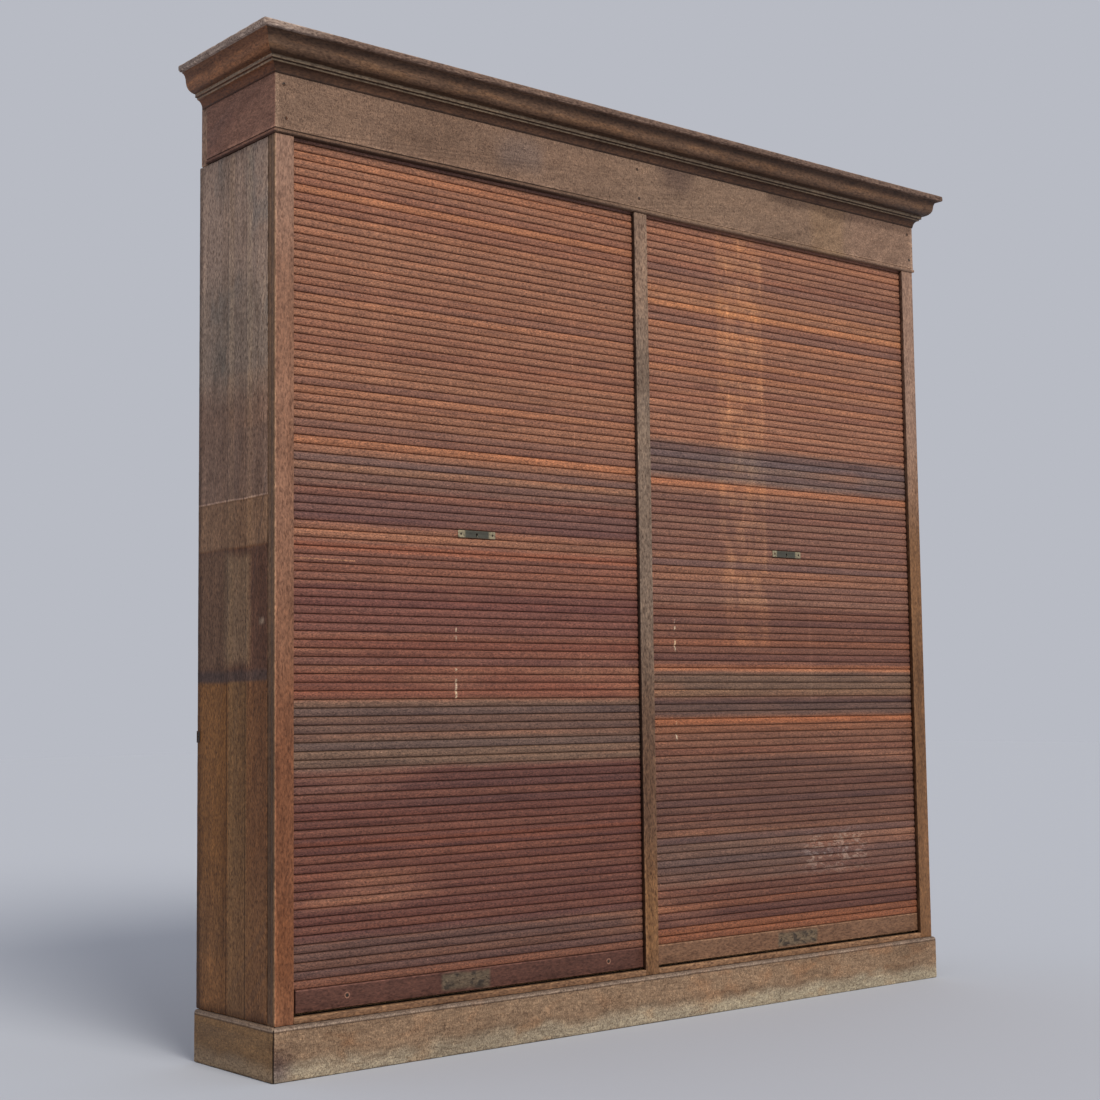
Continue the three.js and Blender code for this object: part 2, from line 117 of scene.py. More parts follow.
lamp = placed("Lamp", bpy.data.lights.new("Lamp", "SUN"))
lamp.data.energy = 2.6
lamp.data.color = (1.0, 0.965, 0.9)
lamp.data.angle = math.radians(28)
lamp.rotation_euler = Vector((-0.08, -0.86, 0.58)).to_track_quat("Z", "Y").to_euler()

floor_reach = 30.0
floor_drop = 0.0005
floor_mesh = bpy.data.meshes.new("Floor")
corners = [(-1, -1), (1, -1), (1, 1), (-1, 1)]
corners = [(x * floor_reach, y * floor_reach, -floor_drop) for x, y in corners]
floor_mesh.from_pydata(corners, [], [(0, 1, 2, 3)])
floor = placed("Floor", floor_mesh)
floor_paint = bpy.data.materials.new("Floor_paint")
floor_paint.use_nodes = True
floor_paint.node_tree.nodes["Principled BSDF"].inputs["Base Color"].default_value = tone(187, 190, 197)
floor_paint.node_tree.nodes["Principled BSDF"].inputs["Roughness"].default_value = 0.9
floor.data.materials.append(floor_paint)

# ---- Plinth ----
# A frame of oak boards, mitred at the two front corners and rounded along the top edge, with a plain
# board between the sides at the back. The floor's damp has bleached its foot.


def connect(tree, value, socket):
    """Links a socket from another node's output, or sets it to a plain value."""
    if isinstance(value, bpy.types.NodeSocket):
        tree.links.new(value, socket)
    else:
        socket.default_value = value


def new_node(tree, kind, inputs, settings):
    """Adds a node to a shader or geometry tree, with its settings and its inputs."""
    node = tree.nodes.new(kind)
    for key, value in settings.items():
        setattr(node, key, value)
    for key, value in inputs.items():
        connect(tree, value, node.inputs[key])
    return node


class Finish:
    """A finish laid on in coats. It keeps the colour, the roughness and the height reached so far."""

    def __init__(self, name, colour, roughness):
        self.material = bpy.data.materials.new(name)
        self.material.use_nodes = True
        self.shader = self.material.node_tree.nodes["Principled BSDF"]
        self.shader.inputs["Specular IOR Level"].default_value = 0.22
        self.place = self.add("ShaderNodeTexCoord", {}).outputs["Object"]
        self.axes = self.add("ShaderNodeSeparateXYZ", {"Vector": self.place}).outputs
        self.colour = tone(*colour)
        self.roughness = roughness
        self.height = 0.0

    def add(self, kind, inputs, **settings):
        """A node of this finish's own."""
        return new_node(self.material.node_tree, kind, inputs, settings)

    def work(self, operation, first, second):
        """One sum on two values."""
        return self.add("ShaderNodeMath", {0: first, 1: second}, operation=operation).outputs[0]

    def both(self, first, second):
        """1 where both masks are 1."""
        return self.work("MULTIPLY", first, second)

    def own(self, attribute):
        """A number that the piece's own mesh holds."""
        return self.add("ShaderNodeAttribute", {}, attribute_name=attribute).outputs["Fac"]

    def cloud(self, lumps, detail=3.0, twist=0.0, shift=0.0):
        """Soft noise about 0.5. lumps is how many there are to a metre along X, Y and Z."""
        aside = shift if isinstance(shift, bpy.types.NodeSocket) else (shift, shift, shift)
        moved = self.add("ShaderNodeVectorMath", {0: self.place, 1: aside}, operation="ADD").outputs[0]
        spread = self.add("ShaderNodeVectorMath", {0: moved, 1: lumps}, operation="MULTIPLY").outputs[0]
        inputs = {"Vector": spread, "Scale": 1.0, "Detail": detail, "Distortion": twist}
        return self.add("ShaderNodeTexNoise", inputs).outputs[0]

    def step(self, value, low, high):
        """0 below low and 1 above high, or the other way round where low is the larger."""
        inputs = {"Value": value, "From Min": low, "From Max": high}
        return self.add("ShaderNodeMapRange", inputs, interpolation_type="SMOOTHSTEP").outputs[0]

    def spots(self, low, high, *cloud):
        """The thick parts of a cloud, or its thin parts where low is the larger."""
        return self.step(self.cloud(*cloud), low, high)

    def patch(self, x=None, y=None, z=None, soft=0.01, ragged=0.0, lean=0.0):
        """1 within the given ranges and 0 outside. ragged is how far its edges wander, lean how far it
        leans along X for each metre of height."""
        mask = 1.0
        for axis, reach in enumerate((x, y, z)):
            if reach is None:
                continue
            value = self.axes[axis]
            if axis == 0 and lean:
                value = self.work("SUBTRACT", value, self.both(self.axes[2], lean))
            if ragged:
                wander = self.work("SUBTRACT", self.cloud((9, 9, 9), 4.0, shift=axis * 3.7), 0.5)
                value = self.work("ADD", value, self.both(wander, 2 * ragged))
            for edge, turn in ((reach[0], 1), (reach[1], -1)):
                inside = self.step(value, edge - turn * soft, edge + turn * soft)
                mask = self.both(mask, inside)
        return mask

    def coat(self, colour, mask, blend):
        """One coat over the ones before it."""
        inputs = {0: mask, 6: self.colour, 7: colour}
        self.colour = self.add("ShaderNodeMix", inputs, data_type="RGBA", blend_type=blend).outputs[2]

    def lay(self, colour, mask, strength=1.0):
        """Lays a colour, in 0 to 255 steps, where mask is 1."""
        self.coat(tone(*colour), mask if strength == 1.0 else self.both(mask, strength), "MIX")

    def shade(self, mask, factor):
        """Makes the colour darker or paler where mask is 1, by a factor for each of its three parts."""
        self.coat((*factor, 1.0), mask, "MULTIPLY")

    def lay_at(self, colour, strength=1.0, **where):
        """Lays a colour over one patch."""
        self.lay(colour, self.patch(**where), strength)

    def shade_at(self, factor, **where):
        """Makes one patch darker or paler."""
        self.shade(self.patch(**where), factor)

    def dull(self, mask, amount):
        """Adds to the roughness where mask is 1."""
        self.roughness = self.work("ADD", self.roughness, self.both(mask, amount))

    def emboss(self, mask, height):
        """Raises the surface by height, in metres, where mask is 1."""
        self.height = self.work("ADD", self.height, self.both(mask, height))

    def done(self):
        """Joins what was reached to the shader, and gives the material."""
        bump = self.add("ShaderNodeBump", {"Height": self.height, "Distance": 1.0, "Strength": 1.0})
        reached = (self.colour, bump.outputs["Normal"], self.roughness)
        for label, value in zip(("Base Color", "Normal", "Roughness"), reached):
            connect(self.material.node_tree, value, self.shader.inputs[label])
        return self.material


def along(run, with_grain, across):
    """How many lumps there are to a metre along X, Y and Z, for grain that runs along one of them."""
    return tuple(with_grain if axis == run else across for axis in "xyz")


def oak(name, body, roughness=0.62):
    """The ground colour of an old oak board, with soft darker and paler clouds."""
    wood = Finish(name, body, roughness)
    clouds = wood.cloud((4.0, 4.0, 4.0), 5.0, 0.4, 11.0)
    wood.shade(wood.step(clouds, 0.5, 0.72), (0.84, 0.82, 0.8))
    wood.shade(wood.step(clouds, 0.48, 0.28), (1.1, 1.1, 1.08))
    return wood


def grained(wood, run, depth=1.0, rays=0.0):
    """The grain along one axis, which shows through every stain and so is laid last: growth bands,
    flecks, pores and the rays that cross a quarter-sawn board. Then the rubbed edges."""

    def streak(dark, pale, amount):
        wood.shade(dark, (1 - 0.36 * amount, 1 - 0.4 * amount, 1 - 0.42 * amount))
        wood.shade(pale, (1 + 0.36 * amount, 1 + 0.34 * amount, 1 + 0.3 * amount))

    bands = wood.cloud(along(run, 0.9, 15.0), 4.0, 0.6)
    streak(wood.step(bands, 0.5, 0.25), wood.step(bands, 0.5, 0.8), 0.75 * depth)
    mottle = wood.cloud(along(run, 14.0, 50.0), 4.0, 0.8, 3.0)
    streak(wood.step(mottle, 0.5, 0.26), wood.step(mottle, 0.5, 0.78), 0.75 * depth)
    flecks = wood.cloud(along(run, 100.0, 230.0), 2.0, 0.6)
    streak(wood.step(flecks, 0.54, 0.24), wood.step(flecks, 0.46, 0.78), (1.6 - 1.2 * rays) * depth)
    if rays:
        silver = wood.cloud((200.0, 200.0, 70.0), 2.0, 3.5, 8.0)
        streak(wood.step(silver, 0.52, 0.34), wood.step(silver, 0.48, 0.68), 2.6 * rays)
        wood.emboss(silver, 0.00015)
    pores = wood.spots(0.54, 0.68, along(run, 40.0, 620.0), 2.0)
    wood.shade(pores, (0.76, 0.72, 0.7))
    wood.emboss(pores, -0.00016)
    wood.emboss(flecks, 0.0002)
    wood.emboss(bands, 0.0005)
    wood.dull(flecks, 0.12)
    rubbed = wood.spots(0.35, 0.6, (60.0, 60.0, 60.0), 3.0)
    wood.shade(wood.both(wood.own("worn"), rubbed), (1.55, 1.6, 1.6))
    return wood.done()


def knock(solid, rubbed, depth):
    """Dents the middle of each eased edge, which no flat face reaches, by up to depth."""
    for vertex in solid.verts:
        if all(face[rubbed] for face in vertex.link_faces):
            place = vertex.co
            blow = noise.noise(place * 31.0) + 0.6 * noise.noise(place * 140.0)
            vertex.co = place - vertex.normal * depth * max(0.0, blow + 0.1)


def as_object(name, solid, mesh_name=None):
    """Keeps a solid as a mesh object in the scene."""
    shape = bpy.data.meshes.new(mesh_name or name)
    solid.to_mesh(shape)
    solid.free()
    return placed(name, shape)


def fitted(node, finish, ease=0.0015, round_over=35.0, knocks=0.0):
    """The piece that stands for a CAD node: the same board with its sharp edges eased by hand and, after
    years of use, knocked. Faces of an eased edge hold 1 in the attribute worn."""
    solid = bmesh.new()
    solid.from_mesh(frame["nodes"][node].data)
    bmesh.ops.remove_doubles(solid, verts=solid.verts, dist=1e-5)
    bmesh.ops.dissolve_limit(solid, angle_limit=math.radians(0.5), verts=solid.verts, edges=solid.edges)
    rubbed = solid.faces.layers.float.new("worn")

    def sharp_edges():
        least = math.radians(round_over)
        return [edge for edge in solid.edges if edge.is_manifold and edge.calc_face_angle() > least]

    if knocks:
        knock_spacing = 0.013
        for edge in sharp_edges():
            cuts = int(edge.calc_length() / knock_spacing)
            if cuts:
                bmesh.ops.subdivide_edges(solid, edges=[edge], cuts=cuts)
    if ease:
        bevel = {"offset": ease, "segments": 2, "profile": 0.5, "affect": "EDGES", "clamp_overlap": True}
        eased = bmesh.ops.bevel(solid, geom=sharp_edges(), **bevel)
        for face in eased["faces"]:
            face[rubbed] = 1.0
    if knocks:
        solid.normal_update()
        knock(solid, rubbed, knocks)
    piece = as_object(f"{node}_finished", solid, node)
    piece.data.shade_smooth()
    piece.data.set_sharp_from_angle(angle=math.radians(35))
    piece.data.materials.clear()
    piece.data.materials.append(finish)
    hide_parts(node)
    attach(piece, frame["nodes"][node]["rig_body"])
    return piece


# Darkens the damp line along the plinth's foot, and is painted shade in the crease under its nose.
damp_and_shade = (0.5, 0.46, 0.44)
open_mitre = (0.12, 0.11, 0.1)


def plinth_oak(name, body, bleached):
    """Waxed oak gone golden, dusty on the rounded edge and bleached along the floor, and darker along a
    damp line at the foot. A painted highlight runs along the nose, with painted shade in the crease
    under it and on the top, under the case.
    """
    wood = oak(name, body)
    foot = wood.patch(z=(-0.1, 0.036), soft=0.02, ragged=0.03)
    tide = wood.patch(z=(0.034, 0.052), soft=0.01, ragged=0.03)
    wood.shade(tide, (0.84, 0.84, 0.84))
    wood.lay((147, 136, 117), foot, bleached)
    wood.shade_at(damp_and_shade, z=(-0.1, 0.0025), soft=0.002, ragged=0.003)
    dust = wood.patch(z=(0.1125, 0.2), soft=0.0025, ragged=0.002)
    wood.lay((112, 98, 88), dust, 0.75)
    # Painted shade: a dark line in the crease under the nose's pale edge.
    wood.shade_at(damp_and_shade, z=(0.1105, 0.1135), soft=0.0012, ragged=0.001)
    # Painted highlight: a pale line along the rounded nose.
    wood.shade_at((1.45, 1.47, 1.48), z=(0.1145, 0.1175), soft=0.0012, ragged=0.002)
    # Painted shade on the plinth's top, under the case.
    wood.shade_at((0.72, 0.7, 0.72), z=(0.1225, 0.2), soft=0.0002)
    scars = wood.spots(0.62, 0.72, (24, 24, 90), 4.0, 0.8, 5.0)
    wood.shade(scars, (0.7, 0.64, 0.6))
    return wood


front = plinth_oak("Plinth_front_oak", (129, 106, 85), 0.9)
front.lay_at((166, 155, 132), 0.45, x=(0.2, 1.2), z=(-0.1, 0.03), soft=0.02, ragged=0.03)
front.shade_at((0.5, 0.46, 0.55), x=(-1.2, -1.115), z=(0.0, 0.075), soft=0.03, ragged=0.03)
front.shade_at((1.24, 1.26, 1.26), x=(-1.2, -1.158), soft=0.002, ragged=0.006)
front.shade_at(open_mitre, x=(-1.2, -1.1625), soft=0.0006, ragged=0.0015)
front.shade(front.spots(0.5, 0.7, (7, 7, 14), 4.0, 0.6, 9.0), (1.1, 0.96, 0.86))
front_finish = grained(front, "x", 0.85, 0.5)
side = plinth_oak("Plinth_side_oak", (132, 101, 68), 0.4)
side.shade_at(open_mitre, y=(-0.2, -0.1505), soft=0.0006, ragged=0.0015)
side_finish = grained(side, "y", 0.75, 0.4)
fitted("plinth_front", front_finish, 0.003, knocks=0.0022)
for hand in ("left", "right"):
    fitted(f"plinth_side_{hand}", side_finish, 0.003, knocks=0.0022)


def softwood(name):
    """Planed softwood that has never been stained, brown with age and dusty."""
    wood = oak(name, (154, 121, 83), 0.74)
    dust = wood.spots(0.45, 0.7, (3, 3, 3), 4.0, 0.0, 2.0)
    wood.lay((150, 138, 122), dust, 0.35)
    return wood


level_softwood = grained(softwood("Softwood_level"), "x")
upright_softwood = grained(softwood("Softwood_upright"), "z")
fitted("plinth_rear", level_softwood)

# ---- Case sides ----
# Each is three upright oak boards glued edge to edge, housed inside for the shelves. Things that stood
# against the left one for years have left pale and dark oblongs; its rear edge is knocked about.


def joined(wood):
    """The glued joints between the three boards, with the paler sapwood on one side of each, and the
    upright grain over them."""
    for joint in (-0.012, 0.074):
        seam = wood.patch(y=(joint - 0.002, joint + 0.002), soft=0.0015, ragged=0.0015)
        wood.shade(wood.both(seam, wood.patch(z=(0.0, 0.9), soft=0.03)), (0.55, 0.52, 0.5))
        wood.shade(seam, (0.72, 0.7, 0.68))
        wood.shade_at((1.12, 1.12, 1.06), y=(joint - 0.03, joint - 0.006), soft=0.006, ragged=0.006)
        wood.shade_at((0.88, 0.86, 0.84), y=(joint + 0.006, joint + 0.03), soft=0.008, ragged=0.006)
        wood.emboss(seam, -0.0004)
    return grained(wood, "z")


grey_line, strip_line, wax_line = 1.33, 1.218, 0.9
left = oak("Case_side_left_oak", (128, 86, 48))
# The upper half, greyed by light and dust down to a pale line.
left.lay_at((122, 96, 81), z=(grey_line, 2.4), soft=0.003, ragged=0.002)
left.lay_at((133, 114, 100), z=(1.6, 2.4), soft=0.07, ragged=0.06)
left.lay_at((147, 124, 109), z=(1.86, 2.4), soft=0.09, ragged=0.09)
greyed = left.spots(0.5, 0.66, (9, 9, 5), 4.0, 0.5, 7.0)
left.shade(left.both(greyed, left.patch(z=(1.55, 2.4), soft=0.1)), (0.78, 0.86, 0.92))
left.shade_at((1.14, 1.1, 1.05), y=(-0.112, 0.075), z=(1.5, 1.635), soft=0.008, ragged=0.01)
left.shade_at((1.3, 1.34, 1.36), y=(-0.104, -0.098), z=(1.35, 1.56), soft=0.003, ragged=0.004)
left.shade_at((0.6, 0.58, 0.56), z=(1.3255, 1.3305), soft=0.002, ragged=0.003)
left.shade_at((1.9, 2.0, 2.05), z=(1.331, 1.3355), soft=0.0012, ragged=0.003)
# The golden strip, and the dark oblong under it with its pale middle and its blue-black foot.
left.lay_at((128, 97, 74), z=(strip_line, 1.3295), soft=0.004, ragged=0.003)
left.lay_at((91, 62, 48), z=(0.902, strip_line), soft=0.007, ragged=0.005)
left.lay_at((113, 85, 65), 0.7, y=(0.06, 0.3), z=(0.93, 1.21), soft=0.02, ragged=0.02)
left.lay_at((123, 97, 75), y=(-0.03, 0.085), z=(0.945, 1.2), soft=0.018, ragged=0.014)
left.lay_at((78, 62, 57), 0.8, z=(wax_line, 0.928), soft=0.008, ragged=0.008)
left.lay_at((180, 160, 138), 0.45, y=(-0.095, -0.075), z=(1.032, 1.046), soft=0.006, ragged=0.01)
# The lower third, brown where it was waxed.
left.lay_at((106, 71, 47), 0.9, y=(-0.2, -0.017), z=(0.1, wax_line), soft=0.005)
left.lay_at((116, 86, 58), 0.8, y=(-0.017, 0.0665), z=(0.1, wax_line), soft=0.005)
left.lay_at((116, 83, 56), 0.5, z=(0.1, 0.42), soft=0.12, ragged=0.05)
left.shade_at((1.16, 1.14, 1.1), y=(0.07, 0.2), z=(0.14, 0.255), soft=0.008, ragged=0.01)
left.shade_at((0.66, 0.62, 0.6), z=(0.1, 0.136), soft=0.01)
left.shade_at((0.66, 0.64, 0.62), y=(0.198, 0.3), soft=0.006, ragged=0.012)
left_finish = joined(left)
right = oak("Case_side_right_oak", (126, 90, 62))
right.lay_at((132, 104, 84), z=(1.4, 2.4), soft=0.2, ragged=0.12)
right_finish = joined(right)
fitted("case_side_left", left_finish, 0.0028, knocks=0.0025)
fitted("case_side_right", right_finish, 0.0028, knocks=0.0025)

# ---- Inside of the case ----
# A bottom board and an upright partition between the two bays, five shelves to a bay in housings, and a
# dust board over each bay. All are plain planed softwood, nailed through the sides.
shelf_numbers = range(1, 6)
fitted("partition", upright_softwood)
fitted("bottom_board", level_softwood)
for hand in ("left", "right"):
    fitted(f"dust_board_{hand}", level_softwood)
    for number in shelf_numbers:
        fitted(f"shelf_{number}_{hand}", level_softwood)

# ---- Back ----
# Upright boards side by side, each with a small chamfer on both long edges, nailed to the shelves.
# Every board has a tone of its own.
low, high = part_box("back_panel")
board_count = 16
board_pitch = (high.x - low.x) / board_count
board_gap = 0.0006
board_chamfer = 0.003


def add_bar(solid, section, run_start, run_end, run):
    """Adds a closed bar to a solid: a section of points, run along X or Z. In a section for X the points
    are (y, z), and in one for Z they are (x, y)."""
    ends = []
    for place in (run_start, run_end):
        corners = [(place, u, v) if run == "x" else (u, v, place) for u, v in section]
        ends.append([solid.verts.new(corner) for corner in corners])
    count = len(section)
    for i in range(count):
        j = (i + 1) % count
        solid.faces.new((ends[0][i], ends[0][j], ends[1][j], ends[1][i]))
    solid.faces.new(ends[0][::-1])
    solid.faces.new(ends[1])


def closed(name, solid):
    """Turns every face of a solid outwards and keeps it as an object."""
    bmesh.ops.recalc_face_normals(solid, faces=solid.faces)
    return as_object(name, solid)


def new_tree(name, inputs):
    """An empty geometry tree with these named inputs. Returns a way to add a node to it, its inputs, and
    a way to end it, with the instances made real and given their finish."""
    tree = bpy.data.node_groups.new(name, "GeometryNodeTree")
    tree.interface.new_socket("Geometry", in_out="OUTPUT", socket_type="NodeSocketGeometry")
    for label, kind in inputs.items():
        tree.interface.new_socket(label, in_out="INPUT", socket_type=f"NodeSocket{kind}")

    def add(kind, inputs, **settings):
        return new_node(tree, kind, inputs, settings)

    given = add("NodeGroupInput", {}).outputs
    made = add("NodeGroupOutput", {}).inputs

    def end(instances):
        real = add("GeometryNodeRealizeInstances", {"Geometry": instances}).outputs[0]
        finished = add("GeometryNodeSetMaterial", {"Geometry": real, "Material": given["Finish"]})
        tree.links.new(finished.outputs[0], made[0])
        return tree

    return add, given, end


def row_tree(name):
    """Copies of one bar set out in a row, each up to Wander off its place and with a random tone from 0
    to 1 and a grain shift of its own."""
    inputs = {"Bar": "Object", "Count": "Int", "First": "Vector", "Pitch": "Vector", "Wander": "Vector"}
    inputs |= {"Seed": "Int", "Finish": "Material"}
    add, given, end = new_tree(name, inputs)
    line = add(
        "GeometryNodeMeshLine",
        {"Count": given["Count"], "Start Location": given["First"], "Offset": given["Pitch"]},
        mode="OFFSET",
    )
    bar = add("GeometryNodeObjectInfo", {"Object": given["Bar"]})
    on_line = {"Points": line.outputs[0], "Instance": bar.outputs["Geometry"]}
    geometry = add("GeometryNodeInstanceOnPoints", on_line).outputs[0]
    least = add("ShaderNodeVectorMath", {0: given["Wander"], "Scale": -1.0}, operation="SCALE")
    wander = {0: least.outputs[0], 1: given["Wander"], "Seed": given["Seed"]}
    off_place = add("FunctionNodeRandomValue", wander, data_type="FLOAT_VECTOR").outputs[0]
    moved = {"Instances": geometry, "Translation": off_place}
    geometry = add("GeometryNodeTranslateInstances", moved).outputs[0]
    for label, most, extra in (("bar_tone", 1.0, 11), ("bar_shift", 40.0, 23)):
        seed = add("ShaderNodeMath", {0: given["Seed"], 1: float(extra)}, operation="ADD").outputs[0]
        chance = add("FunctionNodeRandomValue", {2: 0.0, 3: most, "Seed": seed}, data_type="FLOAT")
        store = add(
            "GeometryNodeStoreNamedAttribute",
            {"Geometry": geometry, "Name": label, "Value": chance.outputs[1]},
            data_type="FLOAT",
            domain="INSTANCE",
        )
        geometry = store.outputs[0]
    return end(geometry)


def grown(name, tree, values, places=()):
    """Runs a geometry tree once, on points where it wants them, and keeps the result as a plain mesh."""
    start = bpy.data.meshes.new(name)
    start.from_pydata([tuple(place) for place in places], [], [])
    piece = placed(name, start)
    modifier = piece.modifiers.new("Set_out", "NODES")
    modifier.node_group = tree
    for item in tree.interface.items_tree:
        if item.in_out == "INPUT" and item.name in values:
            modifier[item.identifier] = values[item.name]
    bpy.context.view_layer.update()
    graph = bpy.context.evaluated_depsgraph_get()
    shape = bpy.data.meshes.new_from_object(
        piece.evaluated_get(graph), preserve_all_data_layers=True, depsgraph=graph
    )
    piece.modifiers.clear()
    piece.data = shape
    return piece


thick = high.y - low.y
half = board_pitch / 2 - board_gap / 2
section = [
    (-half, 0),
    (half, 0),
    (half, thick - board_chamfer),
    (half - board_chamfer, thick),
    (-half + board_chamfer, thick),
    (-half, thick - board_chamfer),
]
solid = bmesh.new()
add_bar(solid, section, low.z, high.z, "z")
pattern_board = closed("Pattern_board", solid)
back_wood = softwood("Back_board_softwood")
back_wood.shade(back_wood.step(back_wood.own("bar_tone"), 0.3, 1.0), (0.7, 0.66, 0.62))
back_wood.lay((120, 112, 100), back_wood.spots(0.5, 0.75, (2, 2, 1.2), 4.0), 0.4)
board_row = row_tree("Row_of_boards")
back = grown(
    "back_boards",
    board_row,
    {
        "Bar": pattern_board,
        "Count": board_count,
        "First": (low.x + board_pitch / 2, low.y, 0.0),
        "Pitch": (board_pitch, 0.0, 0.0),
        "Seed": 3,
        "Finish": grained(back_wood, "z"),
    },
)
bpy.data.objects.remove(pattern_board)
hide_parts("back_panel")
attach(back, "case")

# ---- Nails in the back ----
# Two cut nails through each board into every shelf, not quite in line. Their flat heads are rusty and
# stand just proud of the wood.


def head_tree(name):
    """One head on each given point, turned at random about the Y axis."""
    inputs = {"Points": "Geometry", "Head": "Object", "Seed": "Int", "Finish": "Material"}
    add, given, end = new_tree(name, inputs)
    head = add("GeometryNodeObjectInfo", {"Object": given["Head"]})
    turn = add(
        "FunctionNodeRandomValue",
        {0: (0.0, 0.0, 0.0), 1: (0.0, math.tau, 0.0), "Seed": given["Seed"]},
        data_type="FLOAT_VECTOR",
    )
    cloud = add("GeometryNodeMeshToPoints", {"Mesh": given["Points"]})
    heads = add(
        "GeometryNodeInstanceOnPoints",
        {"Points": cloud.outputs[0], "Instance": head.outputs["Geometry"], "Rotation": turn.outputs[0]},
    )
    return end(heads.outputs[0])


def turned(name, profile, sides, hollow):
    """A shape turned about the Y axis, from a profile of (radius, y) points. A hollow one's profile
    closes on itself, as a ring's does, and a solid one has a flat end on its first and last point."""
    solid = bmesh.new()
    turns = [math.tau * i / sides for i in range(sides)]
    rows = []
    for radius, y in profile:
        rows.append([solid.verts.new((radius * math.cos(t), y, radius * math.sin(t))) for t in turns])
    for lower, upper in zip(rows, rows[1:] + (rows[:1] if hollow else [])):
        for i in range(sides):
            j = (i + 1) % sides
            solid.faces.new((lower[i], lower[j], upper[j], upper[i]))
    if not hollow:
        solid.faces.new(rows[0])
        solid.faces.new(rows[-1])
    made = closed(name, solid)
    made.data.shade_smooth()
    return made


def nail_head(name, radius, rise, facing):
    """A low domed head on the Y axis. facing is -1 for the front and 1 for the back."""
    dome = [(1.0, -0.6), (1.0, 0.35), (0.7, 0.9)]
    profile = [(radius * share, facing * rise * out) for share, out in dome]
    head = turned(name, profile, sides=10, hollow=False)
    head.data.set_sharp_from_angle(angle=math.radians(40))
    return head


def iron(name):
    """Old iron, nearly black, with brown rust in blooms."""
    metal = Finish(name, (58, 52, 48), 0.55)
    metal.shader.inputs["Metallic"].default_value = 0.6
    bloom = metal.spots(0.46, 0.66, (120, 120, 120), 5.0, 0.4)
    metal.lay((106, 68, 46), bloom, 0.6)
    metal.dull(bloom, 0.25)
    metal.emboss(bloom, 0.00008)
    metal.lay((120, 112, 104), metal.own("worn"), 0.3)
    return metal


def driven(name, head, seed, finish, places, body):
    """Copies a nail's or a screw's head to each place. The one copied from is dropped."""
    heads = grown(name, heads_on_points, {"Head": head, "Seed": seed, "Finish": finish}, places)
    bpy.data.objects.remove(head)
    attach(heads, body)


iron_finish = iron("Old_iron").done()
heads_on_points = head_tree("Heads_on_points")
rows_of_nails = []
for number in shelf_numbers:
    shelf_low, shelf_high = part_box(f"shelf_{number}_left")
    rows_of_nails.append((shelf_low.z + shelf_high.z) / 2)
nail_inset = 0.028
off_line = 0.003
back_places = []
for board in range(board_count):
    for edge in (-1, 1):
        x = low.x + (board + 0.5) * board_pitch + edge * (board_pitch / 2 - nail_inset)
        for z in rows_of_nails:
            back_places.append((x, high.y, z + off_line * math.sin(7.3 * board + 3 * edge + z)))
back_nail = nail_head("Pattern_back_nail", 0.0034, 0.0007, 1)
driven("back_nails", back_nail, 5, iron_finish, back_places, "case")

# ---- Face frame ----
# Two stiles and a muntin between, ploughed for the shutters' edges, with a sill under each shutter. A
# bead runs up the outer side of each stile. The stain has faded most at the top.
left = oak("Stile_left_oak", (131, 94, 74), 0.55)
left.lay_at((134, 103, 86), z=(1.95, 2.4), soft=0.2, ragged=0.1)
left.lay_at((118, 75, 51), z=(0.1, 0.98), soft=0.3, ragged=0.12)
left.shade_at((1.14, 1.07, 0.94), z=(0.1, 0.36), soft=0.1)
outer = left.patch(x=(-1.2, -1.1555), soft=0.0008)
left.lay((112, 86, 64), outer, 0.85)
left.shade(left.both(outer, left.patch(z=(0.1, 0.9), soft=0.2)), (0.72, 0.7, 0.66))
left.shade_at((1.22, 1.25, 1.25), x=(-1.2, -1.1525), y=(-0.2, -0.1405), soft=0.0012, ragged=0.002)
# The two quirks beside the bead, painted near black: painted shade in the narrow grooves.
for quirk in (-0.1283, -0.1125):
    left.shade_at((0.3, 0.28, 0.26), x=(-1.2, -1.1535), y=(quirk - 0.001, quirk + 0.001), soft=0.0006)
stile_left_finish = grained(left, "z", 0.8)
right = oak("Stile_right_oak", (117, 83, 55), 0.55)
right.lay_at((139, 110, 93), z=(1.5, 2.4), soft=0.25, ragged=0.12)
# Painted shade on the stile's inner side face, beside the right shutter.
right.shade_at((0.4, 0.37, 0.35), x=(1.0, 1.1066), soft=0.0006)
stile_right_finish = grained(right, "z", 0.8)
middle = oak("Muntin_oak", (115, 97, 83), 0.55)
middle.lay_at((126, 102, 85), z=(1.85, 2.4), soft=0.1, ragged=0.1)
middle.lay_at((98, 71, 53), z=(0.1, 0.9), soft=0.3, ragged=0.1)
middle.lay_at((124, 88, 56), 0.85, z=(0.1, 0.42), soft=0.12, ragged=0.05)
# Painted shade on the muntin's left side face, beside the left shutter.
middle.shade_at((0.26, 0.23, 0.22), x=(-0.03, -0.0226), soft=0.0006)
muntin_finish = grained(middle, "z", 1.0)
sill_wood = oak("Sill_oak", (121, 90, 66), 0.55)
sill_wood.shade_at((1.15, 1.2, 1.2), z=(0.1345, 0.2), soft=0.002)
# Painted shade: the sill's top behind its front edge, in the gap under the shutter, near black.
sill_wood.lay_at((24, 18, 15), y=(-0.1315, 0.0), soft=0.0008)
sill_finish = grained(sill_wood, "x")
fitted("stile_left", stile_left_finish, 0.0012, knocks=0.001)
fitted("stile_right", stile_right_finish, 0.0012, knocks=0.001)
fitted("muntin", muntin_finish, 0.002, knocks=0.0018)
for hand in ("left", "right"):
    fitted(f"sill_{hand}", sill_finish)

